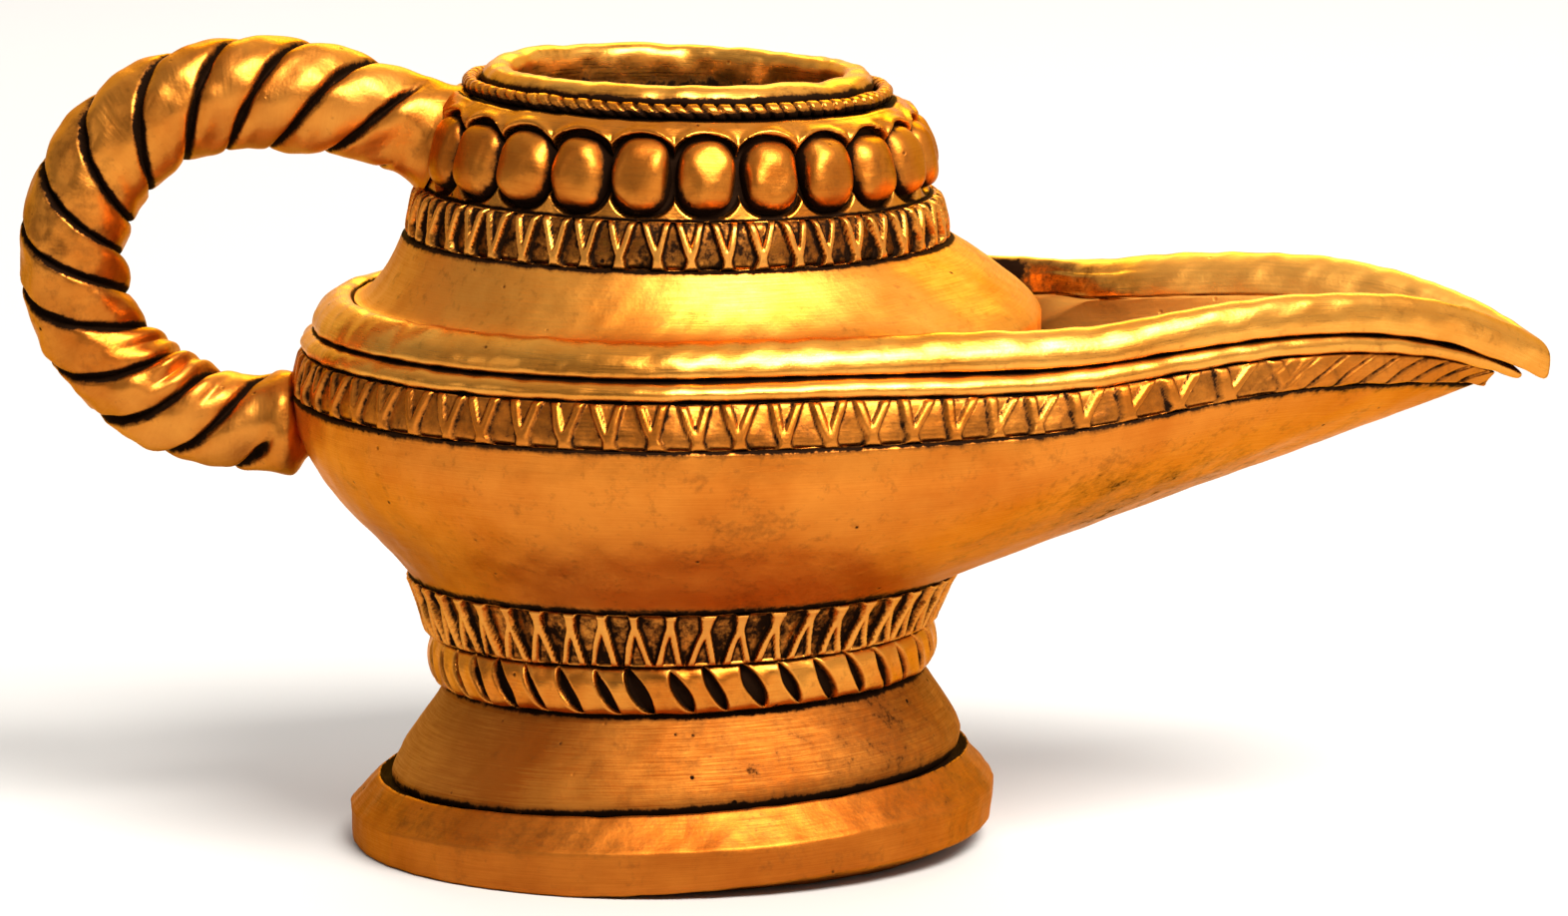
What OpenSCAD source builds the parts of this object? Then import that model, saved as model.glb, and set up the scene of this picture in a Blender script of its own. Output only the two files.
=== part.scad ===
// Footed oil lamp in cast brass: a hollow foot, a boat-shaped bowl with a long open spout,
// a shoulder and a collar over the bowl, and a rope-twist handle.
// Frame: +Z up, spout along +X, handle along -X. The origin is the centre of the foot's resting face.
// Every piece is its own casting, strip or wire, seated on its neighbours and brazed to them.

/* [Foot] */
// Radius of the foot plate
foot_r = 29.4; // [26:0.1:36]
// Height of the foot plate's upright edge
foot_edge_h = 4.6; // [3:0.1:5.2]
// Height of the foot plate, up to the dome's seat
foot_plate_h = 7.5; // [5.6:0.1:9]
// Wall of the hollow foot
foot_wall = 3.0; // [2:0.1:3.6]
// Height of the dome between the plate and the rope moulding
dome_h = 8.0; // [7:0.1:12]

/* [Stem] */
// Outer radius of the tube on top of the dome, that the two mouldings are threaded on
stem_r = 19.5; // [17.5:0.1:20.5]
// Widest radius of the rope moulding
stem_rope_r = 23.3; // [22.6:0.1:26]
// Height of the rope moulding
stem_rope_h = 4.5; // [3.5:0.1:6]
// Number of slanted nicks round the rope moulding
stem_rope_nicks = 38; // [24:1:44]
// Radius of the stamped band under the bowl, at its top edge
stem_band_r = 25.2; // [24:0.1:28]
// Height of the stamped band under the bowl
stem_band_h = 5.0; // [4:0.1:6.5]

/* [Bowl] */
// Widest radius of the bowl, at the stamped strip
bowl_r = 35.3; // [33:0.1:42.4]
// Height of the bowl, from its seat to the crest of its lip
bowl_h = 25.4; // [22:0.1:31]
// Wall of the bowl
bowl_wall = 2.6; // [2:0.1:3.2]
// Thickness of the bowl's floor
bowl_floor = 3.0; // [2:0.1:4]
// Distance from the axis to the tip of the spout
spout_reach = 79.2; // [66:0.1:95]
// Rise of the lip half way along the spout
lip_rise = 1.8; // [0:0.1:3]
// Drop of the lip from its highest point to the tip
lip_droop = 6.7; // [4:0.1:8]

/* [Mouldings round the bowl] */
// Height of the lip
lip_h = 3.1; // [2.6:0.1:4]
// Height of the plain wire under the lip
wire_h = 1.9; // [1.5:0.1:2.5]
// Height of the stamped strip under the wire
strip_h = 4.2; // [3.4:0.1:5]
// Thickness of the stamped strip, and of the stamped ring on the collar
strip_t = 1.1; // [0.8:0.1:1.4]

/* [Shoulder and collar] */
// Height of the shoulder above the crest of the lip
shoulder_h = 5.2; // [4:0.1:8]
// Wall of the shoulder
shoulder_wall = 2.2; // [1.8:0.1:2.8]
// How far the shoulder's hood reaches over the spout
hood_reach = 33.0; // [31.8:0.1:36]
// Radius of the collar at its foot, over the stamped ring
collar_r = 24.8; // [23.5:0.1:27]
// Height of the collar, up to the ledge that carries the neck rope
collar_h = 12.8; // [11.5:0.1:15.5]
// Height of the stamped ring round the collar
collar_band_h = 4.3; // [3.5:0.1:5]
// Radius of the collar at the ledge
collar_top_r = 19.9; // [19.6:0.1:21]
// Radius of the mouth
mouth_r = 14.9; // [12.5:0.1:15.3]
// Height of the mouth ring above the ledge
mouth_h = 2.8; // [2:0.1:4]

/* [Pearls] */
// Pearls that would fill the whole circle; the handle's root takes the place of two
pearl_places = 24; // [20:2:26]
// Width of a pearl
pearl_w = 5.2; // [4.4:0.1:5.4]
// Height of a pearl
pearl_h = 6.4; // [5.6:0.1:6.8]

/* [Handle] */
// Thickness of the handle at the top of its loop
handle_d = 10.4; // [8.8:0.1:11]
// Clear width of the loop, from the lip to the inside of the handle
handle_gap = 16.0; // [14:0.1:24]
// Height of the handle's highest point above the crest of the lip
handle_rise = 23.4; // [21:0.1:27]
// Strands of the rope twist
handle_strands = 3; // [2:1:4]
// Depth of the grooves between the strands
groove_depth = 0.9; // [0.5:0.1:1.2]

/* [Hidden] */
// Gap that the brazing metal fills between two seated pieces
braze_gap = 0.1;
brass = [0.80, 0.53, 0.19];
old_brass = [0.62, 0.38, 0.13];
round_steps = 120;
$fn = round_steps;

// Levels, from the foot up
dome_z = foot_plate_h;
stem_rope_z = dome_z + dome_h;
stem_band_z = stem_rope_z + stem_rope_h;
bowl_z = stem_band_z + stem_band_h;
crest_z = bowl_z + bowl_h;
ledge_z = crest_z - lip_h;
collar_z = crest_z + shoulder_h;
neck_z = collar_z + collar_h;
mouth_z = neck_z + mouth_h;

// Radii that pieces share
dome_r = foot_r - 2.8;
dome_top_r = stem_rope_r - 1.0;
spigot_h = 3.0;
stem_bore_r = stem_r - foot_wall;
plate_bore_r = dome_r - foot_wall - 0.2;
bowl_foot_r = stem_band_r - 0.2;
collar_core_r = collar_r - strip_t - 1.2;
collar_bore_r = collar_core_r - 2.9;
mouth_seat_r = mouth_r + 0.6;
pearl_z = collar_z + 8.1;
first_pearl = 1.5;
pearls = pearl_places - 2;

// The spout's plan, and how its mouldings hang from the crest line
plan_steps = 72;
spout_taper = 1.42;
spout_nose = 0.85;
rise_start = 0.38 * spout_reach;
rise_peak = 0.71 * spout_reach;
droop_power = 2.3;
tip_shrink = 0.22;
hull_levels = 9;

function pearl_name(i) = str("pearl_", i < 10 ? "0" : "", i);

// ---- Curves -------------------------------------------------------------------------------

function smooth(t) = let (u = min(1, max(0, t))) u * u * (3 - 2 * u);
function mix(a, b, t) = a + (b - a) * t;
function bezier(p, t) = len(p) == 1 ? p[0]
    : bezier([for (i = [0 : len(p) - 2]) mix(p[i], p[i + 1], t)], t);
function curve(p, steps) = [for (i = [0 : steps]) bezier(p, i / steps)];
function reversed(list) = [for (i = [len(list) - 1 : -1 : 0]) list[i]];

// Height of the lip's crest at a distance x along the spout
function crest_line(x) = crest_z
    + lip_rise * smooth((x - rise_start) / (rise_peak - rise_start))
    - lip_droop * pow(max(0, (x - rise_peak) / (spout_reach - rise_peak)), droop_power);

// The mouldings get a little lower towards the tip
function hang(x) = 1 - tip_shrink * smooth((x - rise_start) / (spout_reach - rise_start));

// One point of the boat-shaped plan: a half circle behind, drawn out to the spout in front
function plan(r, reach, a) =
    let (c = cos(a),
         drawn = min(1, max(0, (reach - r) / (spout_reach - bowl_r))),
         p = c > 0 ? mix(2, spout_taper, drawn) : 2,
         q = c > 0 ? mix(0.5, spout_nose, drawn) : 0.5)
    [(c > 0 ? reach : r) * c,
     sign(sin(a)) * r * pow(max(0, 1 - pow(abs(c), p)), q)];

function plan_angles() = [for (i = [0 : plan_steps - 1]) 360 * i / plan_steps];

// A closed ring of points that hangs a distance d below the crest line
function hung_ring(r, reach, d) = [for (a = plan_angles())
    let (p = plan(r, reach, a)) [p.x, p.y, crest_line(p.x) - d * hang(p.x)]];

function flat_ring(r, z) = [for (a = plan_angles()) [r * cos(a), r * sin(a), z]];

// ---- Surfaces -----------------------------------------------------------------------------

// Two triangles for each step round, between rings i and j
function strip_faces(i, j, n) = [for (k = [0 : n - 1]) let (m = (k + 1) % n)
    each [[i * n + k, j * n + k, j * n + m], [i * n + k, j * n + m, i * n + m]]];

// A solid skinned over a stack of rings, closed by a flat cap at each end
module capped_loft(rings) {
    n = len(rings[0]);
    last = len(rings) - 1;
    polyhedron(
        points = [for (r = rings) each r],
        faces = concat(
            [for (i = [0 : last - 1]) each strip_faces(i, i + 1, n)],
            [[for (k = [0 : n - 1]) k]],
            [[for (k = [n - 1 : -1 : 0]) last * n + k]]));
}

// A solid skinned over a stack of rings whose last ring meets the first
module looped_loft(rings) {
    n = len(rings[0]);
    count = len(rings);
    polyhedron(
        points = [for (r = rings) each r],
        faces = [for (i = [0 : count - 1]) each strip_faces(i, (i + 1) % count, n)]);
}

// ---- Foot ---------------------------------------------------------------------------------

module foot_plate() {
    chamfer = 0.5;
    color(brass)
    rotate_extrude()
    polygon([[plate_bore_r, 0], [foot_r - chamfer, 0], [foot_r, chamfer], [foot_r, foot_edge_h],
             [dome_r + 0.4, foot_plate_h], [plate_bore_r, foot_plate_h]]);
}

module foot_dome() {
    outside = curve([[dome_r - 0.5, dome_z], [dome_r + 0.8, dome_z + 0.2 * dome_h],
                     [dome_r - 3.2, dome_z + 0.63 * dome_h], [dome_top_r - 0.3, stem_rope_z]], 10);
    spigot_r = plate_bore_r - braze_gap;
    inside = curve([[stem_bore_r, bowl_z], [stem_bore_r, stem_rope_z - 1], [spigot_r - foot_wall, dome_z + 5],
                    [spigot_r - foot_wall, dome_z - spigot_h]], 10);
    color(brass)
    rotate_extrude()
    polygon(concat([[spigot_r, dome_z - spigot_h], [spigot_r, dome_z]], outside,
                   [[stem_r, stem_rope_z], [stem_r, bowl_z]], inside));
}

// ---- Stem ---------------------------------------------------------------------------------

module stem_rope() {
    bore = stem_r + braze_gap;
    side = curve([[dome_top_r - 0.4, stem_rope_z], [stem_rope_r + 0.5, stem_rope_z + 0.1],
                  [stem_rope_r + 0.5, stem_band_z - 0.1], [dome_top_r - 0.2, stem_band_z]], 8);
    nick_r = 0.75;
    nick_tilt = 24;
    color(old_brass)
    difference() {
        rotate_extrude() polygon(concat([[bore, stem_rope_z]], side, [[bore, stem_band_z]]));
        for (i = [0 : stem_rope_nicks - 1])
            rotate([0, 0, 360 * i / stem_rope_nicks])
            translate([stem_rope_r + 0.2, 0, (stem_rope_z + stem_band_z) / 2])
            rotate([nick_tilt, 0, 0])
            cylinder(h = 0.72 * stem_rope_h, r = nick_r, center = true, $fn = 16);
    }
}

module stem_band() {
    bore = stem_r + braze_gap;
    low_r = stem_band_r - 1.6;
    color(brass)
    rotate_extrude()
    polygon([[bore, stem_band_z], [low_r - 0.5, stem_band_z], [low_r, stem_band_z + 0.5],
             [stem_band_r, bowl_z - 0.5], [bowl_foot_r, bowl_z], [bore, bowl_z]]);
}

// ---- Bowl ---------------------------------------------------------------------------------

// Reach of the spout at the mouldings' levels, each a little behind the one above it
strip_depth = lip_h + wire_h + strip_h;
hull_reach = spout_reach - 6.9;
strip_low_reach = spout_reach - 8.2;
strip_top_reach = spout_reach - 6.4;
wire_low_reach = spout_reach - 7.0;
wire_top_reach = spout_reach - 5.4;
ledge_reach = spout_reach - 8.6;
strip_seat_r = bowl_r - strip_t - 0.6;
wire_seat_r = strip_seat_r - 1.2;
skirt_t = 1.5;
skirt_r = wire_seat_r - 3.0;
ledge_r = skirt_r - skirt_t - 0.2;

// Outside of the hull between its foot (t = 0) and the stamped strip (t = 1)
function hull_point(a, t, inset, lift) =
    let (bulge = pow(sin(90 * min(1, t / 0.85)), 1.15),
         r = mix(bowl_foot_r, bowl_r, bulge) - inset,
         reach = mix(bowl_foot_r, hull_reach, t) - inset * (1 + t),
         p = plan(r, reach, a),
         top = plan(bowl_r - inset, hull_reach - 2 * inset, a),
         top_z = crest_line(top.x) - strip_depth * hang(top.x))
    [p.x, p.y, mix(bowl_z, top_z, t) + lift];
function hull_ring(t, inset, lift) = [for (a = plan_angles()) hull_point(a, t, inset, lift)];

module bowl() {
    boss_r = stem_bore_r - braze_gap;
    outside = concat(
        [flat_ring(boss_r, bowl_z - spigot_h), flat_ring(boss_r, bowl_z)],
        [for (i = [0 : hull_levels]) hull_ring(i / hull_levels, 0, 0)]);
    seats = [hung_ring(strip_seat_r, strip_low_reach, strip_depth),
             hung_ring(strip_seat_r, strip_top_reach, lip_h + wire_h),
             hung_ring(wire_seat_r, wire_low_reach, lip_h + wire_h),
             hung_ring(wire_seat_r, wire_top_reach, lip_h),
             hung_ring(ledge_r, ledge_reach, lip_h)];
    inside = [for (i = [hull_levels : -1 : 1])
        let (t = i / hull_levels) hull_ring(t, bowl_wall, mix(bowl_floor, 1.2, t))];
    floor = [flat_ring(bowl_foot_r - 2 * bowl_wall, bowl_z + bowl_floor)];
    color(brass) capped_loft(concat(outside, seats, inside, floor));
}

module rim_strip() {
    color(brass)
    looped_loft([
        hung_ring(strip_seat_r + braze_gap, strip_low_reach + braze_gap, strip_depth - braze_gap),
        hung_ring(bowl_r, spout_reach - 6.2, strip_depth - braze_gap),
        hung_ring(bowl_r - 0.9, spout_reach - 4.8, lip_h + wire_h + braze_gap),
        hung_ring(strip_seat_r + braze_gap, strip_top_reach + braze_gap, lip_h + wire_h + braze_gap)]);
}

module rim_wire() {
    middle = lip_h + wire_h / 2;
    color(brass)
    looped_loft([
        hung_ring(wire_seat_r + braze_gap, wire_low_reach + 2 * braze_gap, lip_h + wire_h - braze_gap),
        hung_ring(bowl_r - 1.3, spout_reach - 4.0, lip_h + wire_h - braze_gap),
        hung_ring(bowl_r - 1.3, spout_reach - 2.8, middle),
        hung_ring(bowl_r - 2.2, spout_reach - 2.8, lip_h + braze_gap),
        hung_ring(wire_seat_r + braze_gap, wire_top_reach + 2 * braze_gap, lip_h + braze_gap)]);
}

module rim_lip() {
    inner_r = skirt_r + braze_gap;
    color(brass)
    looped_loft([
        hung_ring(bowl_r - 2.3, spout_reach - 1.2, lip_h - braze_gap),
        hung_ring(bowl_r - 2.5, spout_reach, 0.55 * lip_h),
        hung_ring(bowl_r - 3.6, spout_reach - 0.6, 0.14 * lip_h),
        hung_ring(bowl_r - 4.8, spout_reach - 1.7, 0),
        hung_ring(inner_r + 0.4, spout_reach - 2.8, 0.1 * lip_h),
        hung_ring(inner_r, spout_reach - 3.7, 0.4 * lip_h),
        hung_ring(inner_r, spout_reach - 5.6, lip_h - braze_gap)]);
}

// ---- Shoulder and collar ------------------------------------------------------------------

// Plan of the shoulder's skirt: it follows the inside of the lip and closes over the spout
function hood_point(r, a) =
    let (x = (cos(a) > 0 ? hood_reach - (skirt_r - r) : r) * cos(a),
         side = cos(a) > 0 ? r * pow(1 - pow(x / (spout_reach - 3.7), spout_taper), spout_nose) : r,
         round_off = cos(a) > 0 ? sqrt(max(0, 1 - pow(cos(a), 8))) : sqrt(1 - pow(cos(a), 2)))
    [x, sign(sin(a)) * side * round_off];
function hood_ring(r, z) = [for (a = plan_angles()) let (p = hood_point(r, a)) [p.x, p.y, z]];
function blend_rings(a, b, t) = [for (i = [0 : len(a) - 1]) mix(a[i], b[i], t)];

module shoulder() {
    top_r = collar_r + 0.2;
    hole_r = collar_bore_r + 0.6;
    steps = 5;
    slope = [for (i = [0 : steps]) let (t = i / steps,
            ring = blend_rings(hood_ring(skirt_r, 0), flat_ring(top_r, 0), t), angles = plan_angles())
        [for (k = [0 : plan_steps - 1])
            let (front = smooth((cos(angles[k]) - 0.5) / 0.4),
                 low_z = crest_z - mix(0.4, 1.6, front))
            [ring[k].x, ring[k].y, mix(low_z, collar_z, pow(t, mix(1.7, 0.85, front)))]]];
    low_in = hood_ring(skirt_r - skirt_t, ledge_z + 0.3);
    under = [for (i = [steps : -1 : 0]) let (t = i / steps)
        blend_rings(low_in, flat_ring(hole_r + 0.2, collar_z - shoulder_wall), t)];
    color(brass)
    looped_loft(concat([hood_ring(skirt_r, ledge_z)], slope, [flat_ring(hole_r, collar_z)], under,
                       [hood_ring(skirt_r - skirt_t, ledge_z)]));
}

module collar() {
    spigot_r = collar_bore_r + 0.6 - braze_gap - 0.1;
    slope_r = collar_core_r + 0.5;
    root_z = pearl_z + pearl_h / 2;
    color(brass)
    rotate_extrude()
    polygon([[spigot_r, collar_z - 1.6], [spigot_r, collar_z], [collar_core_r, collar_z],
             [collar_core_r, collar_z + collar_band_h], [slope_r, collar_z + collar_band_h],
             [collar_top_r + 0.8, root_z + 0.2], [collar_top_r, neck_z], [mouth_seat_r, neck_z],
             [mouth_seat_r, neck_z - 2.4], [collar_bore_r - 1.2, pearl_z], [collar_bore_r - 1.2, collar_z - 1.6]]);
}

module collar_band() {
    bore = collar_core_r + braze_gap;
    top = collar_z + collar_band_h;
    color(brass)
    rotate_extrude()
    polygon([[bore, collar_z], [collar_r - 0.4, collar_z], [collar_r, collar_z + 0.4],
             [collar_r - 0.5, top - 0.4], [collar_r - 1.0, top], [bore, top]]);
}

// The collar's slope behind the pearls, at a height z
function collar_slope_r(z) =
    let (low = collar_z + collar_band_h, high = pearl_z + pearl_h / 2 + 0.2)
    mix(collar_core_r + 0.5, collar_top_r + 0.8, (z - low) / (high - low));

// The collar's whole side, which stands steeper over the pearls when the collar is tall
function collar_side_r(z) =
    let (high = pearl_z + pearl_h / 2 + 0.2)
    z < high ? collar_slope_r(z)
    : max(collar_slope_r(z), mix(collar_top_r + 0.8, collar_top_r, (z - high) / (neck_z - high)));

// One pearl: a barrel that is brazed to the collar's slope with its back cut to fit
module pearl(i) {
    step = 360 / pearl_places;
    lean = 2.1;
    low = collar_z + collar_band_h;
    barrel = curve([[0, -pearl_h / 2], [0.42 * pearl_w, -0.5 * pearl_h], [0.58 * pearl_w, -0.2 * pearl_h],
                    [0.58 * pearl_w, 0.2 * pearl_h], [0.42 * pearl_w, 0.5 * pearl_h], [0, pearl_h / 2]], 12);
    color(brass)
    difference() {
        rotate([0, 0, 180 + step * (first_pearl + i - 1)])
            translate([collar_slope_r(pearl_z) + lean - pearl_w / 2, 0, pearl_z])
            rotate_extrude() polygon(barrel);
        translate([0, 0, low - 2])
            cylinder(h = pearl_h + 5, r1 = collar_slope_r(low - 2) + braze_gap,
                     r2 = collar_slope_r(low + pearl_h + 3) + braze_gap);
    }
}

module neck_rope() {
    rope_r = 0.6;
    color(old_brass)
    rotate_extrude()
        translate([mouth_seat_r + 3.3, neck_z + rope_r]) circle(r = rope_r, $fn = 32);
}

module mouth_ring() {
    outer_r = mouth_seat_r + 2.6;
    spigot_r = mouth_seat_r - braze_gap;
    crown = curve([[outer_r, mouth_z - 1.2], [outer_r, mouth_z + 0.1], [mouth_r, mouth_z + 0.3],
                   [mouth_r, mouth_z - 0.9]], 8);
    color(brass)
    rotate_extrude()
    polygon(concat([[mouth_r, neck_z - 2.0], [spigot_r, neck_z - 2.0], [spigot_r, neck_z],
                    [outer_r - 0.4, neck_z]], crown));
}

// ---- Handle -------------------------------------------------------------------------------

handle_r = handle_d / 2;
low_root_r = 0.84 * handle_r;
loop_left = bowl_r - 0.9 + handle_gap + handle_r;
loop_top_z = crest_z + handle_rise - handle_r;
loop_low_z = ledge_z - 9.0;
loop_half_h = (loop_top_z - loop_low_z) / 2;
loop_half_w = handle_gap + 0.3;
loop_x = -(loop_left - loop_half_w);
root_top_x = -collar_slope_r(pearl_z);
root_r = (collar_h - collar_band_h) / 2 - braze_gap;
tail_fall = loop_top_z - (collar_z + collar_band_h + root_r + braze_gap);
tail_steps = 18;
arc_steps = 44;

// Centreline: from the collar out over a shallow arch, round a half ellipse, and back to the bowl
handle_line = concat(
    [for (i = [0 : tail_steps - 1]) let (t = 1 - i / tail_steps)
        [mix(loop_x, root_top_x, t), loop_top_z - tail_fall * t * t]],
    [for (i = [0 : arc_steps]) let (a = 90 + 180 * i / arc_steps)
        [loop_x + loop_half_w * cos(a), (loop_top_z + loop_low_z) / 2 + loop_half_h * sin(a)]],
    [[mix(loop_x, -bowl_r, 0.5), loop_low_z], [-bowl_r - braze_gap, loop_low_z]]);

function tangent(line, i) = let (a = line[max(0, i - 1)], b = line[min(len(line) - 1, i + 1)]) (b - a) / norm(b - a);
function lengths(line) = [for (i = 0, s = 0; i < len(line); i = i + 1,
    s = s + (i < len(line) ? norm(line[i] - line[i - 1]) : 0)) s];

// Radius along the handle: a root that fits between the stamped ring and the ledge,
// full at the top, slimmer at the bowl
function handle_radius(u) = mix(root_r, mix(handle_r, low_root_r, smooth(1.15 * u)), smooth(u / 0.2));

// Sideways slide that brings a root's end ring on to the collar's slope or the bowl's side
function seated(p, first, last) =
    first ? [-sqrt(pow(collar_side_r(p.z) + braze_gap, 2) - p.y * p.y), p.y, p.z]
    : last ? [-sqrt(pow(bowl_r + braze_gap, 2) - p.y * p.y), p.y, p.z] : p;

module handle() {
    sides = 24;
    turns = 4.67;
    count = len(handle_line);
    run = lengths(handle_line);
    total = run[count - 1];
    rings = [for (i = [0 : count - 1])
        let (u = run[i] / total,
             t = tangent(handle_line, i),
             r = handle_radius(u),
             cut = groove_depth * smooth((u - 0.06) / 0.06) * smooth((1 - u) / 0.05))
        [for (k = [0 : sides - 1])
            let (a = 360 * k / sides,
                 lobe = abs(sin(handle_strands / 2 * (a + 360 * turns * u))),
                 d = r - cut * pow(1 - lobe, 2),
                 p = [handle_line[i].x + d * cos(a) * t.y, d * sin(a), handle_line[i].y - d * cos(a) * t.x])
            seated(p, i == 0, i == count - 1)]];
    color(brass) capped_loft(rings);
}

// ---- Assembly -----------------------------------------------------------------------------

foot_plate();
foot_dome();
stem_rope();
stem_band();
bowl();
rim_strip();
rim_wire();
rim_lip();
shoulder();
collar();
collar_band();
neck_rope();
mouth_ring();
handle();
for (i = [1 : pearls])
    pearl(i);
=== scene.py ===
"""A cast brass oil lamp with a boat-shaped bowl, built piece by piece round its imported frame."""
import math

import bpy
import numpy as np
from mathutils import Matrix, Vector


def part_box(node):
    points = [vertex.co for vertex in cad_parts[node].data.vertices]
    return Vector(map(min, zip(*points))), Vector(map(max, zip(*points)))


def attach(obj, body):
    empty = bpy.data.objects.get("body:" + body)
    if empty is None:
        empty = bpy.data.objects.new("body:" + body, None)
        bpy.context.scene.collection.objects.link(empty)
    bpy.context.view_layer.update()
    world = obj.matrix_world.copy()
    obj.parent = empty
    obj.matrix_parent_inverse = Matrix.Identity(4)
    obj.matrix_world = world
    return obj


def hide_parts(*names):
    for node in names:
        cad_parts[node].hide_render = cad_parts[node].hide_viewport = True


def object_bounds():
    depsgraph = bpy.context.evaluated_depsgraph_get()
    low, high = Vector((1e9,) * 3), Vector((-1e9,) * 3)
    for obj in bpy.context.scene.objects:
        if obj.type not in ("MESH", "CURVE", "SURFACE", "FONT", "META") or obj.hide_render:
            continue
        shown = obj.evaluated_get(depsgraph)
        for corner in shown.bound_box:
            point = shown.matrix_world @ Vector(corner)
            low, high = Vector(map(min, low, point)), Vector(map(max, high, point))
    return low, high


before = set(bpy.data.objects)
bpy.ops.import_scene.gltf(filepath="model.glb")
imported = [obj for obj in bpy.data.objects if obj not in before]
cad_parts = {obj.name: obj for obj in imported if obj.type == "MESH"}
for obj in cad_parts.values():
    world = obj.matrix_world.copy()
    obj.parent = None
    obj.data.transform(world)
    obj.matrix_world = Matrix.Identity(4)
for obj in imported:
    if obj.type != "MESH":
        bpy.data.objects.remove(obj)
cad_low, cad_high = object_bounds()
mm = 0.001


# ---- Camera, floor and lights --------------------------------------------------------------
# The lamp stands on a wide pale floor under a pale sky that is brighter behind and to the
# right. One broad soft box hangs over the right shoulder, a weaker one stands at the left, and
# a third lights the back.

middle = (Vector(cad_low) + Vector(cad_high)) / 2
aim = Vector((middle.x + 0.12 * mm, 0, middle.z - 1.8 * mm))
camera_distance = 820 * mm
camera_rise = math.radians(9.3)
camera = bpy.data.objects.new("camera", bpy.data.cameras.new("camera"))
camera.data.angle = math.radians(9.96)
camera.data.clip_start = 0.01
camera.location = aim + camera_distance * Vector((0, -math.cos(camera_rise), math.sin(camera_rise)))
camera.rotation_euler = (aim - camera.location).to_track_quat("-Z", "Y").to_euler()
bpy.context.collection.objects.link(camera)
bpy.context.scene.camera = camera
bpy.context.scene.view_settings.view_transform = "Standard"

floor_size = 12.0
bpy.ops.mesh.primitive_grid_add(size=floor_size, x_subdivisions=8, y_subdivisions=8)
floor = bpy.context.object
floor.name = "floor"
pale = bpy.data.materials.new("pale_floor")
pale.use_nodes = True
pale_shader = pale.node_tree.nodes["Principled BSDF"]
pale_shader.inputs["Base Color"].default_value = (0.54, 0.535, 0.525, 1)
pale_shader.inputs["Roughness"].default_value = 0.85
floor.data.materials.append(pale)

sky = bpy.data.worlds.new("sky")
sky.use_nodes = True
sky_tree = sky.node_tree
sky_way = sky_tree.nodes.new("ShaderNodeVectorMath")
sky_way.operation = "DOT_PRODUCT"
sky_way.inputs[1].default_value = (0.45, 0.87, 0.10)
sky_tree.links.new(sky_tree.nodes.new("ShaderNodeTexCoord").outputs["Generated"], sky_way.inputs[0])
sky_ramp = sky_tree.nodes.new("ShaderNodeMapRange")
sky_ramp.interpolation_type = "SMOOTHSTEP"
sky_ramp.inputs["From Min"].default_value = -0.75
sky_ramp.inputs["From Max"].default_value = 0.75
sky_ramp.inputs["To Min"].default_value = 0.20
sky_ramp.inputs["To Max"].default_value = 1.0
sky_tree.links.new(sky_way.outputs["Value"], sky_ramp.inputs["Value"])
sky_tree.links.new(sky_ramp.outputs[0], sky_tree.nodes["Background"].inputs["Strength"])
sky_tree.nodes["Background"].inputs["Color"].default_value = (1.0, 0.97, 0.93, 1)
bpy.context.scene.world = sky


def soft_box(name, spot, size, watts, colour):
    """A rectangular soft light that faces the lamp."""
    lamp = bpy.data.lights.new(name, "AREA")
    lamp.shape = "RECTANGLE"
    lamp.size, lamp.size_y = size
    lamp.energy = watts
    lamp.color = colour
    holder = bpy.data.objects.new(name, lamp)
    holder.location = spot
    holder.rotation_euler = (aim - Vector(spot)).to_track_quat("-Z", "Y").to_euler()
    bpy.context.collection.objects.link(holder)


soft_box("key_box", (0.34, -0.60, 0.78), (0.55, 0.40), 23.0, (1.0, 0.96, 0.90))
soft_box("side_box", (-0.80, -0.45, 0.45), (0.25, 0.50), 0.5, (1.0, 0.95, 0.88))
soft_box("back_box", (0.10, 0.80, 0.60), (0.70, 0.30), 5.0, (1.0, 0.97, 0.93))


# ---- Foot plate ----------------------------------------------------------------------------
# The foot plate is a heavy cast ring that the lamp stands on. Its upright edge was filed by
# hand, so it is a little wavy and chipped. The underside is worn away toward the spout, and
# old black polish sits in the seam where the dome is brazed on.

ROUND = 720


def smooth(t):
    """Eases from 0 to 1 as t does, with no corner at either end."""
    t = np.clip(t, 0.0, 1.0)
    return t * t * (3 - 2 * t)


def between(a, b, t):
    """The value a share t of the way from a to b."""
    return a + (b - a) * t


def wander(angle, seed, waves=(2, 3, 5, 7)):
    """A slow unevenness round a circle, as a hand leaves it, between about -1 and 1."""
    luck = np.random.default_rng(seed)
    total = np.zeros_like(angle)
    for wave in waves:
        total = total + np.cos(wave * angle + luck.uniform(0, 2 * np.pi)) / wave ** 0.7
    return total / 1.6


def softened(points, rounds=3):
    """Cuts the corners off a line of points, again and again, until it runs round."""
    line = np.array(points, float)
    for _ in range(rounds):
        start, after = line[:-1], line[1:]
        cut = np.stack([0.75 * start + 0.25 * after, 0.25 * start + 0.75 * after], 1)
        line = np.concatenate([line[:1], cut.reshape(-1, line.shape[1]), line[-1:]])
    return line


def spaced(line, count):
    """The same line with its points an even distance apart."""
    line = np.asarray(line, float)
    run = np.concatenate([[0], np.cumsum(np.linalg.norm(np.diff(line, axis=0), axis=1))])
    even = np.linspace(0, run[-1], count)
    return np.stack([np.interp(even, run, line[:, k]) for k in range(line.shape[1])], 1)


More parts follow.
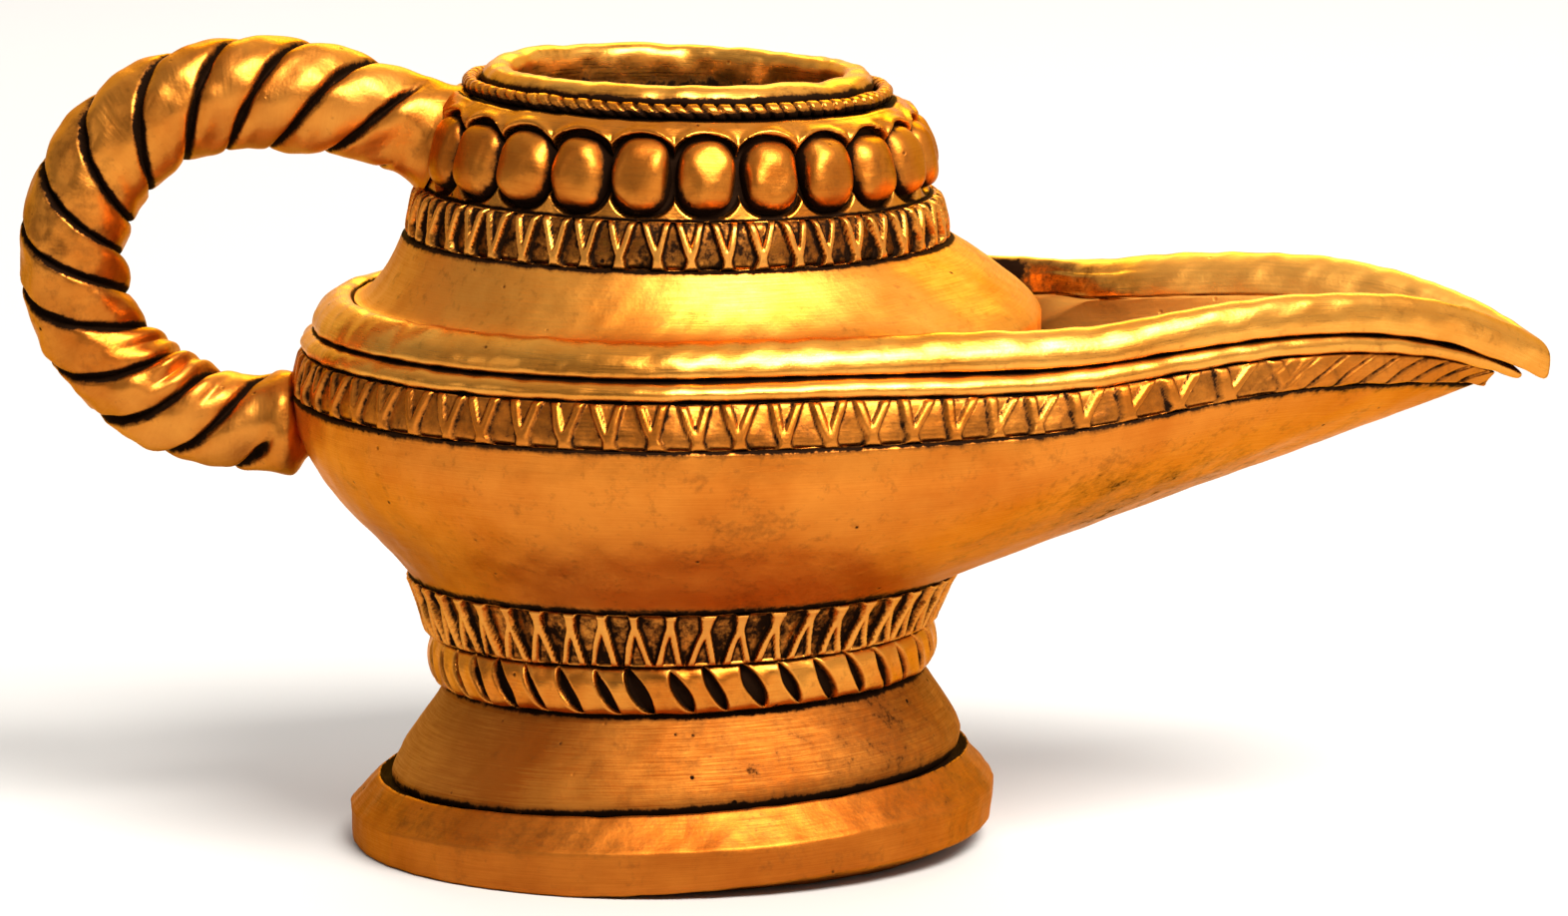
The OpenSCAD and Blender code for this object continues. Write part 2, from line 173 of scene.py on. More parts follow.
def settled(points):
    """The lamp was put together by eye: its foot sits a hair to the left and leans one way,
    and its collar leans the other."""
    height = points[..., 2]
    slope = np.interp(height, [0, 1.5, 7.5, 16, 20, 25, 38, 50, 56, 64, 71],
                      [0, 0.020, 0.052, 0.036, 0.028, 0.012, 0, 0, -0.010, -0.022, -0.027])
    aside = np.interp(height, [0, 7, 9, 14, 18, 22, 25, 29, 35, 39, 43],
                      [-0.7, -0.6, 0.1, 0.5, 0.3, 0.3, 0.5, 1.1, 1.2, 0.6, 0])
    out = points.copy()
    out[..., 2] = height + points[..., 0] * slope
    out[..., 0] = points[..., 0] + aside
    return out


def beaten(grid, amount, wrap_rows):
    """Raises and sinks a surface in soft dents a few millimetres wide, as hand tools leave it."""
    luck = np.random.default_rng(7)
    waves = luck.normal(size=(16, 3))
    waves *= 2 * np.pi / (luck.uniform(1.8, 7.0, 16) * np.linalg.norm(waves, axis=1))[:, None]
    dents = np.cos(grid @ waves.T + luck.uniform(0, 2 * np.pi, 16)).sum(-1) / 2.8
    along = np.roll(grid, -1, 1) - np.roll(grid, 1, 1)
    across = np.roll(grid, -1, 0) - np.roll(grid, 1, 0)
    if not wrap_rows:
        across[0] = grid[1] - grid[0]
        across[-1] = grid[-1] - grid[-2]
    normal = np.cross(along, across)
    normal /= np.maximum(np.linalg.norm(normal, axis=2), 1e-9)[..., None]
    return grid + amount * dents[..., None] * normal


def skin(name, grid, patina_and_painted_light, wrap_rows=True, capped=False, dents=0.045):
    """A mesh over a grid of points in millimetres, [row, column, xyz], with its patina, and on some pieces
    painted shade and painted light, and the lay of its surface (millimetres along and across) kept on it
    for the material."""
    grid = beaten(grid, dents, wrap_rows)
    grid[..., 2] = np.maximum(grid[..., 2], 0)
    rows, columns = grid.shape[:2]
    index = np.arange(rows * columns).reshape(rows, columns)
    low = index if wrap_rows else index[:-1]
    high = np.roll(index, -1, 0) if wrap_rows else index[1:]
    quads = np.stack([low, np.roll(low, -1, 1), np.roll(high, -1, 1), high], -1)
    along = np.linalg.norm(np.roll(grid, -1, 1) - grid, axis=2).mean(0)
    across = np.linalg.norm(np.roll(grid, -1, 0) - grid, axis=2).mean(1)
    u = np.concatenate([[0], np.cumsum(along)])
    v = np.concatenate([[0], np.cumsum(across)])
    r, c = quads.shape[:2]
    lay = np.zeros((r, c, 4, 3))
    lay[..., 0, 0] = lay[..., 3, 0] = u[:c]
    lay[..., 1, 0] = lay[..., 2, 0] = u[1:c + 1]
    lay[..., 0, 1] = lay[..., 1, 1] = v[:r, None]
    lay[..., 2, 1] = lay[..., 3, 1] = v[1:r + 1, None]
    faces = quads.reshape(-1, 4).tolist()
    lay = lay.reshape(-1, 3)
    if capped:
        faces += [index[0, ::-1].tolist(), index[-1].tolist()]
        lay = np.concatenate([lay, np.zeros((2 * columns, 3))])
    corners = grid.reshape(-1, 3)
    a, b, d = (corners[quads.reshape(-1, 4)[:, k]] for k in (0, 1, 3))
    outward = np.einsum("ij,ij->", np.cross(b - a, d - a), a - corners.mean(0)) > 0
    mesh = bpy.data.meshes.new(name)
    mesh.from_pydata((corners * mm).tolist(), [], faces)
    # The attribute holds the patina, and on some pieces painted shade and painted light as well.
    dirt = mesh.attributes.new("patina_and_painted_light", "FLOAT", "POINT")
    dirt.data.foreach_set("value", np.asarray(patina_and_painted_light, float).ravel())
    grain = mesh.attributes.new("lay", "FLOAT_VECTOR", "CORNER")
    grain.data.foreach_set("vector", lay.ravel())
    if not outward:
        mesh.flip_normals()
    mesh.shade_smooth()
    piece = bpy.data.objects.new(name, mesh)
    bpy.context.collection.objects.link(piece)
    return piece


def turned(section, columns=ROUND):
    """Spins a closed section of (radius, height) points into a grid, with the angles used."""
    angle = np.linspace(0, 2 * np.pi, columns, endpoint=False)
    section = np.asarray(section, float)
    grid = np.empty((len(section), columns, 3))
    grid[..., 0] = section[:, :1] * np.cos(angle)
    grid[..., 1] = section[:, :1] * np.sin(angle)
    grid[..., 2] = section[:, 1:2]
    return grid, angle


def swell(grid, amount):
    """Moves a turned grid's points out from the axis."""
    reach = np.hypot(grid[..., 0], grid[..., 1])
    grow = (reach + amount) / np.maximum(reach, 1e-6)
    grid[..., 0] *= grow
    grid[..., 1] *= grow
    return grid


def place(piece, node):
    """Puts a piece in its node's place on the lamp's one body, and hides the node."""
    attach(piece, "root")
    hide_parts(node)


def node_in(tree, kind, inputs=None, **settings):
    """Adds a shader node, with its inputs given as values or as the sockets that feed them."""
    node = tree.nodes.new(kind)
    for name, value in settings.items():
        setattr(node, name, value)
    for socket, source in (inputs or {}).items():
        if isinstance(source, bpy.types.NodeSocket):
            tree.links.new(source, node.inputs[socket])
        else:
            node.inputs[socket].default_value = source
    return node


# Pale rubbed wear (also used for painted light), and brown and black patina (also used for painted shade).
RUBBED_AND_PAINTED_LIGHT = (0.84, 0.42, 0.085, 1)
BROWN_PATINA_AND_SHADE = (0.20, 0.062, 0.011, 1)
BLACK_PATINA_AND_SHADE = (0.018, 0.008, 0.004, 1)


def brass(name, gold=(0.70, 0.265, 0.036), amber=(0.56, 0.155, 0.015), gloss=0.33, brush=0.5,
          streak=0.35, dent=0.30):
    """Old cast brass: amber blotches in the gold, brushed lines, small casting pits, a black patina that
    lies in every hollow, and rubbed places (patina below nought) that are pale. The same attribute also
    carries painted shade, which browns and blackens the colour like patina, and painted light, which pales
    it like rubbing."""
    material = bpy.data.materials.new(name)
    material.use_nodes = True
    tree = material.node_tree
    shader = tree.nodes["Principled BSDF"]

    def noise(where, scale, detail, roughness=0.5):
        inputs = {"Vector": where, "Scale": scale, "Detail": detail, "Roughness": roughness}
        return node_in(tree, "ShaderNodeTexNoise", inputs).outputs["Fac"]

    def maths(operation, *terms):
        return node_in(tree, "ShaderNodeMath", dict(enumerate(terms)), operation=operation).outputs[0]

    def ramp(value, low, high, to_low=0.0, to_high=1.0, kind="LINEAR"):
        inputs = {"Value": value, "From Min": low, "From Max": high, "To Min": to_low, "To Max": to_high}
        return node_in(tree, "ShaderNodeMapRange", inputs, interpolation_type=kind).outputs[0]

    def mix(factor, below, above):
        return node_in(tree, "ShaderNodeMix", {0: factor, 6: below, 7: above}, data_type="RGBA").outputs[2]

    here = node_in(tree, "ShaderNodeTexCoord").outputs["Object"]
    lay = node_in(tree, "ShaderNodeAttribute", attribute_name="lay").outputs["Vector"]
    # hollow reads the patina attribute, painted shade and painted light included.
    hollow = node_in(tree, "ShaderNodeAttribute", attribute_name="patina_and_painted_light").outputs["Fac"]
    stretched = node_in(tree, "ShaderNodeVectorMath", {0: lay, 1: (0.16, 5.5, 1.0)}, operation="MULTIPLY")
    lines = noise(stretched.outputs[0], 1.0, 4.0, 0.75)
    blotch = noise(here, 85.0, 5.0, 0.62)
    speck = noise(here, 1500.0, 3.0, 0.7)
    patch = noise(here, 430.0, 3.0, 0.6)
    stain = ramp(noise(here, 48.0, 6.0, 0.68), 0.52, 0.74, 0.0, 0.30)
    cells = node_in(tree, "ShaderNodeTexVoronoi", {"Vector": here, "Scale": 400.0, "Randomness": 1.0})
    rare = maths("GREATER_THAN", cells.outputs["Color"], 0.58)
    pit = maths("MULTIPLY", rare, ramp(cells.outputs["Distance"], 0.04, 0.105, 1.0, 0.0))

    ragged = maths("SUBTRACT", maths("ADD", speck, patch), 1.0)
    ragged = maths("ADD", maths("ADD", ragged, hollow), stain)
    dirt = maths("MULTIPLY_ADD", pit, 0.62, ragged)
    black = ramp(dirt, 0.42, 0.80, kind="SMOOTHSTEP")
    brown = ramp(dirt, 0.10, 0.55, 0.0, 0.75)
    # Rubbed wear, and painted light given as patina below nought, pale the colour; painted shade browns and
    # blackens it with the patina.
    wear_and_painted_light = ramp(hollow, -0.05, -0.9)
    tone = ramp(maths("MULTIPLY_ADD", lines, streak, blotch), 0.36 + streak / 2, 0.64 + streak / 2)
    colour = mix(tone, (*gold, 1), (*amber, 1))
    colour = mix(wear_and_painted_light, colour, RUBBED_AND_PAINTED_LIGHT)
    colour = mix(brown, colour, BROWN_PATINA_AND_SHADE)
    colour = mix(black, colour, BLACK_PATINA_AND_SHADE)

    rough = ramp(lines, 0.3, 0.7, gloss - 0.07, gloss + 0.11)
    rough = maths("MULTIPLY_ADD", black, 0.42, rough)
    rough = maths("MULTIPLY_ADD", wear_and_painted_light, 0.28, rough)

    grain = maths("MULTIPLY_ADD", pit, -3.0, maths("MULTIPLY_ADD", lines, brush, speck))
    fine = node_in(tree, "ShaderNodeBump", {"Strength": 0.35, "Distance": 0.00006, "Height": grain})
    hammered = maths("MULTIPLY_ADD", patch, 0.30, noise(here, 190.0, 1.0))
    coarse = node_in(tree, "ShaderNodeBump", {"Strength": dent, "Distance": 0.0006, "Height": hammered,
                                              "Normal": fine.outputs[0]})
    tree.links.new(colour, shader.inputs["Base Color"])
    tree.links.new(rough, shader.inputs["Roughness"])
    tree.links.new(coarse.outputs[0], shader.inputs["Normal"])
    shader.inputs["Metallic"].default_value = 1.0
    shader.inputs["Specular Tint"].default_value = (0.98, 0.68, 0.40, 1)
    return material


plain_brass = brass("cast_brass", gold=(0.50, 0.150, 0.017), amber=(0.38, 0.095, 0.009), gloss=0.50,
                    brush=0.3, dent=0.45)

foot_low, foot_high = (np.array(corner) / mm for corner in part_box("foot_plate"))
foot_r = (foot_high[0] - foot_low[0]) / 2
foot_top = foot_high[2]
foot_edge = 4.5
foot_bore = 23.3

side = spaced([(foot_r - 0.3, 0.3), (foot_r, foot_edge - 0.2)], 12)
bevel = spaced([(foot_r - 0.35, foot_edge + 0.25), (26.9, foot_top - 0.15)], 14)
plate_section = np.concatenate([
    [(foot_bore, 0.0), (25.5, 0.0), (foot_r - 0.9, 0.0), (foot_r - 0.5, 0.08)], side,
    [(foot_r - 0.1, foot_edge + 0.02)], bevel,
    [(26.7, foot_top - 0.3), (26.4, foot_top - 0.8), (25.7, foot_top - 0.8), (25.0, foot_top - 0.2),
     (foot_bore, foot_top - 0.1)]])
plate, angle = turned(plate_section)
outside = smooth((plate_section[:, 0] - 25) / 3)[:, None]
plate = swell(plate, outside * 0.16 * wander(angle, 3, (2, 3, 5, 9, 14)))
edge_lift = 0.20 * np.cos(angle) + 0.16 * wander(angle, 4, (2, 5, 8, 13))
chips = 0.30 * np.clip(wander(angle, 6, (11, 17, 23, 31, 41)) - 0.15, 0, None)
plate = swell(plate, -chips * smooth((plate_section[:, 1] - 2.5) / 1.6)[:, None] * outside)
plate_r, plate_z = plate_section[:, :1], plate_section[:, 1:]
plate[..., 2] += edge_lift * smooth((plate_z - 1.5) / 2.5) * smooth((plate_r - 27.4) / 1.2)
worn_away = 1.3 * smooth((np.cos(angle + 0.5) - 0.1) / 0.9)
plate[..., 2] += worn_away * smooth((plate_r - 24.5) / 4.5) * smooth((3.4 - plate_z) / 3.2)
seam = smooth((27.15 - plate_r) / 0.55) * smooth(plate_z - 4)
on_bevel = 0.16 * smooth((plate_z - foot_edge) / 0.5)
under = 0.35 * smooth((0.25 - plate_z) / 0.2)
plate_patina = np.maximum(np.maximum(seam, on_bevel), under) * np.ones(len(angle))
foot_plate = skin("foot_plate_cast", settled(plate), plate_patina, dents=0.03)
foot_plate.data.materials.append(plain_brass)
place(foot_plate, "foot_plate")


# ---- Foot dome -----------------------------------------------------------------------------
# The dome is a cast bell on the plate, turned and brushed round, with a tube on top that the
# two mouldings are threaded on. It is hollow right up to the bowl.

_, dome_high = (np.array(corner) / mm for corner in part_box("foot_dome"))
rope_low, rope_high = (np.array(corner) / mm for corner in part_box("stem_rope"))
dome_foot = foot_top - 0.5
dome_top = rope_low[2]
tube_r = 19.5
bell_rows = 60
curve = np.linspace(0, 1, 80)[:, None]
bell_points = np.array([(25.6, dome_foot), (26.9, foot_top + 1.5), (23.4, foot_top + 4.8),
                        (21.7, dome_top)])
bell = spaced((1 - curve) ** 3 * bell_points[0] + 3 * curve * (1 - curve) ** 2 * bell_points[1]
              + 3 * curve ** 2 * (1 - curve) * bell_points[2] + curve ** 3 * bell_points[3],
              bell_rows)
dome_section = np.concatenate([
    bell, spaced([(tube_r, dome_top), (tube_r, dome_high[2])], 6),
    spaced([(16.5, dome_high[2]), (16.5, 15), (19.7, 10.5), (20.3, 4.8)], 24),
    [(23.1, 4.7), (23.2, foot_top - 0.3)]])
dome, angle = turned(dome_section)
shown = np.zeros(len(dome_section))
shown[:bell_rows] = np.sin(np.linspace(0, np.pi, bell_rows)) ** 0.6
dome = swell(dome, shown[:, None] * (0.13 * wander(angle, 11) + 0.05 * wander(angle, 12, (9, 13, 17))))
height = dome_section[:, 1]
seams = np.maximum(smooth((dome_foot + 1.1 - height) / 0.8), smooth((height - dome_top + 0.8) / 0.7))
dome_patina_and_painted_light = np.where(np.arange(len(dome_section)) < bell_rows, seams, 0.45)[:, None]
# Painted shade and painted light: the bell is darkened on its right and front and paled on its left and
# back, for the way the light falls on it.
dome_patina_and_painted_light = dome_patina_and_painted_light + 0.28 * np.cos(angle + 0.4)
foot_dome = skin("foot_dome_cast", settled(dome), dome_patina_and_painted_light, dents=0.025)
foot_dome.data.materials.append(brass("brushed_dome", gold=(0.44, 0.155, 0.021), amber=(0.31, 0.080, 0.008),
                                      gloss=0.64, brush=1.0, streak=0.9, dent=0.30))
place(foot_dome, "foot_dome")


# ---- Rope moulding -------------------------------------------------------------------------
# A half-round ring under the stamped band, cut with slanted leaf-shaped nicks so that it
# reads as rope. Each nick was struck by hand, so no two are quite alike.

nick_count = 42
nick_slant = 0.80
rope_rows = 34
rope_bottom, rope_top = rope_low[2], rope_high[2]
rope_face = spaced(softened([(21.8, rope_bottom), (22.85, rope_bottom + 0.25), (23.3, rope_bottom + 1.6),
                             (23.3, rope_top - 1.3), (22.9, rope_top - 0.2), (22.3, rope_top)], 3),
                   rope_rows)
rope_section = np.concatenate([rope_face, [(19.6, rope_top), (19.6, rope_bottom)]])
rope, angle = turned(rope_section, nick_count * 36)
rise = np.concatenate([np.linspace(0, 1, rope_rows), [0, 0]])[:, None]
luck = np.random.default_rng(21)
nick_phase = angle / (2 * np.pi) * nick_count
nick = np.floor(nick_phase + nick_slant * (rise - 0.5)).astype(int) % nick_count
across = (nick_phase + nick_slant * (rise - 0.5)) % 1 - 0.5 + luck.uniform(-0.09, 0.09, nick_count)[nick]
middle_height = 0.50 + luck.uniform(-0.05, 0.05, nick_count)[nick]
half_length = luck.uniform(0.38, 0.45, nick_count)[nick]
half_width = luck.uniform(0.17, 0.27, nick_count)[nick]
leaf = half_width * np.clip(1 - ((rise - middle_height) / half_length) ** 2, 0, 1) ** 0.8
cut = smooth((leaf - np.abs(across)) / 0.10 + 0.15) * (leaf > 0)
cut[rope_rows:] = 0
strand_swell = 0.16 * np.cos(np.pi * across) ** 2 * np.sin(np.pi * np.clip(rise, 0, 1))
rope = swell(rope, -0.95 * cut - 0.10 + strand_swell + 0.06 * wander(angle, 22) * (rise > 0))
ends = np.maximum(smooth((0.10 - rise) / 0.10), smooth((rise - 0.90) / 0.09))
rubbed = 0.35 * np.cos(np.pi * across) ** 4 * (ends < 0.05)
rope_patina = np.where(cut > 0.02, cut * 1.15, ends * 0.9 - rubbed)
rope_piece = skin("stem_rope_nicked", settled(rope), rope_patina)
rope_piece.data.materials.append(brass("nicked_brass", gloss=0.30, brush=0.35))
place(rope_piece, "stem_rope")


# ---- Stamped band under the bowl -----------------------------------------------------------
# A flaring ring under the bowl, stamped with a row of outlined triangles. The triangles
# point up, and the ground between them is sunk and blackened, with painted shade deepest along its walls.

UNIT_COLUMNS = 26


def stamped(unit, rise, count, seed, flare=0.27, ground=1.0, inner=0.55, dirt=0.60, rub=0.35):
    """Depth and patina of a row of stamped V shapes at a place along (in units) and up the
    band (0 to 1): a small sunk triangle inside each V, and a foot that spreads under it. Every
    stamp is struck by hand, a little off in width, place and lean. Dirt lies in the sunk
    ground, painted shade darkens it further along its walls and in its corners, and the raised outlines are
    rubbed."""
    luck = np.random.default_rng(seed)
    which = np.floor(unit).astype(int) % count
    shift = luck.uniform(-0.05, 0.05, count)[which]
    lean = luck.uniform(-0.13, 0.13, count)[which]
    wide = luck.uniform(0.38, 0.45, count)[which]
    waist = luck.uniform(0.24, 0.36, count)[which]
    foot = luck.uniform(flare - 0.06, flare + 0.05, count)[which]
    side = unit % 1 - 0.5 + shift + lean * (rise - 0.5)
    above = np.clip((rise - waist) / (1 - waist), 0, 1)
    below = np.clip((waist - rise) / waist, 0, 1)
    stem = 0.085
    half = stem + (wide - stem) * above ** 0.9 + (foot - stem) * below ** 1.5
    gap = np.abs(side) - half
    within = smooth((-gap - 0.135) / 0.05) * smooth((rise - waist - 0.08) / 0.08)
    within *= smooth((0.93 - rise) / 0.05)
    beyond = smooth((gap - 0.005) / 0.07) * smooth((rise - 0.03) / 0.05) * smooth((0.97 - rise) / 0.06)
    # Painted shade: corner darkens the ground along its walls, on top of the dirt that fills it.
    corner = np.exp(-((gap - 0.05) / 0.055) ** 2) * beyond
    corner += np.exp(-((gap + 0.165) / 0.04) ** 2) * within
    depth = ground * beyond + inner * within
    stain = dirt * (beyond + within) + 0.50 * corner
    rims = np.maximum(smooth((0.05 - rise) / 0.04), smooth((rise - 0.95) / 0.04))
    rubbed = rub * (np.maximum(beyond, within) < 0.02) * (rims < 0.02)
    return depth, np.clip(np.maximum(stain, rims), 0, 1.1) - rubbed


def stamped_ring(name, section_face, back, count, depth_mm, seed, upside_down=False, flare=0.27):
    """A turned ring whose outer face carries the stamped row."""
    rows = len(section_face)
    grid, angle = turned(np.concatenate([section_face, back]), count * UNIT_COLUMNS)
    rise = np.linspace(0, 1, rows)[:, None]
    unit = angle / (2 * np.pi) * count + 0 * rise
    upright = (1 - rise if upside_down else rise) + 0 * unit
    depth, stain = stamped(unit, upright, count, seed, flare)
    full = np.zeros(grid.shape[:2])
    full[:rows] = -depth_mm * depth
    grid = swell(grid, full + 0.05 * wander(angle, seed + 1))
    patina_and_painted_light = np.full(grid.shape[:2], 0.8)
    patina_and_painted_light[:rows] = stain
    return skin(name, settled(grid), patina_and_painted_light)


band_rows = 34
band_low, band_high = (np.array(corner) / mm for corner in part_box("stem_band"))
low, high = band_low[2], band_high[2]
band_face = spaced(softened([(22.9, low), (23.5, low + 0.15), (23.75, low + 0.9),
                             (25.0, high - 0.8), (25.45, high - 0.2), (25.0, high)], 2), band_rows)
stem_band = stamped_ring("stem_band_stamped", band_face, [(19.6, high), (19.6, low)],
                         49, 0.85, 31, upside_down=True, flare=0.20)
stamped_brass = brass("stamped_brass", gloss=0.27, brush=0.25)
stem_band.data.materials.append(stamped_brass)
place(stem_band, "stem_band")


# ---- Bowl ----------------------------------------------------------------------------------
# The bowl holds the oil. It is one thin cast shell: round behind, and drawn out in front into
# the open spout that the wick lies in. Its outside was brushed to a satin amber.

bowl_low, _ = (np.array(corner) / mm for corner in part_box("bowl"))
strip_low, strip_high = (np.array(corner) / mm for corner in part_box("rim_strip"))
_, lip_high = (np.array(corner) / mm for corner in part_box("rim_lip"))
bowl_seat = band_high[2]
bowl_r = (strip_high[1] - strip_low[1]) / 2
spout_reach = lip_high[0]
crest = bowl_seat + 25.4
lip_height, wire_height, strip_height = 3.1, 1.9, 4.2
wire_foot = lip_height + wire_height
strip_foot = wire_foot + strip_height
bowl_foot_r = 25.0
spout_taper, spout_nose = 1.42, 0.85
rise_start, rise_peak = 0.38 * spout_reach, 0.71 * spout_reach


def crest_line(x):
    """Height of the lip's crest along the spout: up to a gentle hump, then down to the tip."""
    return (crest + 1.8 * smooth((x - rise_start) / (rise_peak - rise_start))
            - 6.7 * np.clip((x - rise_peak) / (spout_reach - rise_peak), 0, None) ** 2.3)


def below_crest(depth, x):
    """How far below the crest a level of the rim lies at x. The lip thickens along the spout,
    and the strip below it runs out thin towards the tip."""
    knots = np.array([15.0, 38.0, 64.0, 80.0])
    levels = [0 * x, np.interp(x, knots, [lip_height, 3.55, 3.8, 3.7]),
              np.interp(x, knots, [wire_foot, 5.65, 5.6, 5.1]),
              np.interp(x, knots, [strip_foot, 9.0, 8.6, 6.3])]
    base = [0.0, lip_height, wire_foot, strip_foot]
    k = min(2, max(0, np.searchsorted(base, depth, "right") - 1))
    return levels[k] + (depth - base[k]) / (base[k + 1] - base[k]) * (levels[k + 1] - levels[k])


def plan(r, reach, angle):
    """The boat-shaped outline: a half circle behind, drawn out to the spout in front."""
    ahead = np.cos(angle) > 0
    drawn = np.clip((reach - r) / (spout_reach - bowl_r), 0, 1)
    power = np.where(ahead, 2 + (spout_taper - 2) * drawn, 2.0)
    nose = np.where(ahead, 0.5 + (spout_nose - 0.5) * drawn, 0.5)
    across = np.clip(1 - np.abs(np.cos(angle)) ** power, 0, None) ** nose
    return np.where(ahead, reach, r) * np.cos(angle), np.sign(np.sin(angle)) * r * across


def hung(r, reach, depth, angle):
    """A ring of points round the boat, a depth below the crest line."""
    x, y = plan(r, reach, angle)
    return np.stack([x, y, crest_line(x) - below_crest(depth, x)], -1)


def even_angles(count):
    """Angles that space points evenly along the rim, starting at the tip."""
    fine = np.linspace(0, 2 * np.pi, 20001)
    ring = hung(bowl_r, spout_reach - 5, 7, fine)
    run = np.concatenate([[0], np.cumsum(np.linalg.norm(np.diff(ring, axis=0), axis=1))])
    return np.interp(np.linspace(0, run[-1], count, endpoint=False), run, fine)


def hull_ring(t, inset, lift, angle):
    """Outside of the hull between its foot (t = 0) and the stamped strip (t = 1), or the
    inside, when inset by the wall."""
    bulge = math.sin(math.radians(90 * min(1, t / 0.85))) ** 1.15
    r = bowl_foot_r + (bowl_r - bowl_foot_r) * bulge - inset
    hull_reach = spout_reach - 6.9
    reach = bowl_foot_r + (hull_reach - bowl_foot_r) * t - inset * (1 + t)
    x, y = plan(r, max(reach, r), angle)
    top_x, _ = plan(bowl_r - inset, hull_reach - 2 * inset, angle)
    top = crest_line(top_x) - below_crest(strip_foot, top_x)
    return np.stack([x, y, bowl_seat + (top - bowl_seat) * t + lift], -1)


def into_trough(ring, amount):
    """Leans the inside of the rim in towards the middle of the open spout."""
    out = ring.copy()
    ahead = amount * smooth((ring[..., 0] - 34.5) / 4.5)
    out[..., 1] *= 1 - 0.15 * ahead
    out[..., 0] -= 1.2 * ahead * smooth((ring[..., 0] - 60) / 14)
    return out


rim_columns = 900
rim_angle = even_angles(rim_columns)
skirt_r = 29.4
shell = 2.7
seat_rings = [(33.6, spout_reach - 8.2, 9.2), (33.6, spout_reach - 6.4, 5.0),
              (32.4, spout_reach - 7.0, 5.0), (32.4, spout_reach - 5.4, 3.1),
              (29.3, spout_reach - 5.9, 3.1)]
hull_rows, wall_rows, inner_rows = 46, 22, 16
bowl_grid = [np.stack([16.4 * np.cos(rim_angle), 16.4 * np.sin(rim_angle), 0 * rim_angle + z], -1)
             for z in (bowl_low[2], bowl_seat)]
bowl_grid += [hull_ring(t, 0, 0, rim_angle) for t in np.linspace(0, 1, hull_rows)]
bowl_grid += [hung(r, reach, depth, rim_angle) for r, reach, depth in seat_rings[:-1]]
bowl_grid.append(into_trough(hung(*seat_rings[-1], rim_angle), 1.0))
brink = into_trough(hung(29.15, spout_reach - 6.1, 2.9, rim_angle), 1.0)
waist = hull_ring(0.50, shell, 2.2, rim_angle)
for t in np.linspace(0, 1, wall_rows)[1:]:
    wall = between(brink, waist, t)
    wall[:, :2] = between(brink[:, :2], waist[:, :2], t ** 0.80)
    bowl_grid.append(wall)
bowl_grid += [hull_ring(t, shell, 2.6 - 0.8 * t, rim_angle)
              for t in np.linspace(0.47, 0.11, inner_rows)]
bowl_grid += [np.stack([r * np.cos(rim_angle), r * np.sin(rim_angle), 0 * rim_angle + bowl_seat + 3.0], -1)
              for r in (19.8, 12.0, 4.0)]
bowl_grid = np.array(bowl_grid)
outer = slice(2, 2 + hull_rows)
seat = slice(outer.stop, outer.stop + 4)
inside = slice(seat.stop, None)
climb = np.linspace(0, 1, hull_rows)[:, None]
uneven = 0.16 * wander(rim_angle, 41) * np.sin(np.pi * climb)
uneven = uneven + 0.10 * wander(rim_angle, 42, (3, 5, 9)) * np.sin(2 * np.pi * climb)
bowl_grid[outer] = swell(bowl_grid[outer].copy(), uneven)
bowl_patina_and_shade = np.zeros(bowl_grid.shape[:2])
bowl_patina_and_shade[outer] = np.maximum(smooth((0.055 - climb) / 0.05), smooth((climb - 0.965) / 0.03)) * 0.95
# Painted shade: the hull darkens low down towards the spout, whose underside would otherwise mirror the
# bright floor.
painted_underside_shade = 0.42 * smooth((bowl_grid[outer][..., 0] - 18) / 30) * smooth((0.95 - climb) / 0.6)
bowl_patina_and_shade[outer] = np.maximum(bowl_patina_and_shade[outer], painted_underside_shade)
bowl_patina_and_shade[seat] = 0.9
deep = np.clip((bowl_grid[..., 2] - 30) / 12, 0, 1)
hooded = smooth((36 - bowl_grid[..., 0]) / 8)
bowl_patina_and_shade[inside] = -0.75 + 0.30 * (1 - deep[inside]) * hooded[inside] + 1.35 * hooded[inside]
bowl = skin("bowl_cast", settled(bowl_grid), bowl_patina_and_shade, wrap_rows=False, capped=True, dents=0.025)
bowl.data.materials.append(brass("satin_brass", gold=(0.66, 0.215, 0.026), amber=(0.54, 0.145, 0.014),
                                 gloss=0.36, brush=0.8))
place(bowl, "bowl")


# ---- Stamped strip, wire and lip -----------------------------------------------------------
# Three strips run round the bowl, one over the other, and out to the tip of the spout: a strip
# stamped with triangles that point down, a plain half-round wire, and the rolled lip.


def swept(rings, columns_at, seed=0, waver=0.0):
    """A grid over rings round the boat, given as (radius, reach, depth) rows."""
    grid = np.array([hung(r, reach, depth, columns_at) for r, reach, depth in rings])
    if waver:
        grid[..., 2] += waver * wander(columns_at, seed, (2, 3, 5, 8, 12))
    return grid


strip_columns = 70 * UNIT_COLUMNS
strip_angle = even_angles(strip_columns)
strip_rows = 30
strip_face = spaced(softened([
    (34.6, spout_reach - 6.8, 9.15), (35.2, spout_reach - 6.0, 9.05), (35.3, spout_reach - 5.9, 8.3),
    (34.6, spout_reach - 4.9, 5.6), (34.3, spout_reach - 4.9, 5.15), (33.8, spout_reach - 5.4, 5.05)], 2),
    strip_rows)
strip_back = [(33.7, spout_reach - 6.2, 5.1), (33.7, spout_reach - 8.0, 9.1)]
strip_grid = swept(np.concatenate([strip_face, strip_back]), strip_angle, 51, 0.07)
rise = np.linspace(0, 1, strip_rows)[:, None]
column = np.arange(strip_columns)
from_tip = np.minimum(column, strip_columns - column)
pace = 1 / (1 + 0.55 * smooth(1.6 - from_tip / (9.0 * UNIT_COLUMNS)))
strip_count = round(pace.sum() / UNIT_COLUMNS)
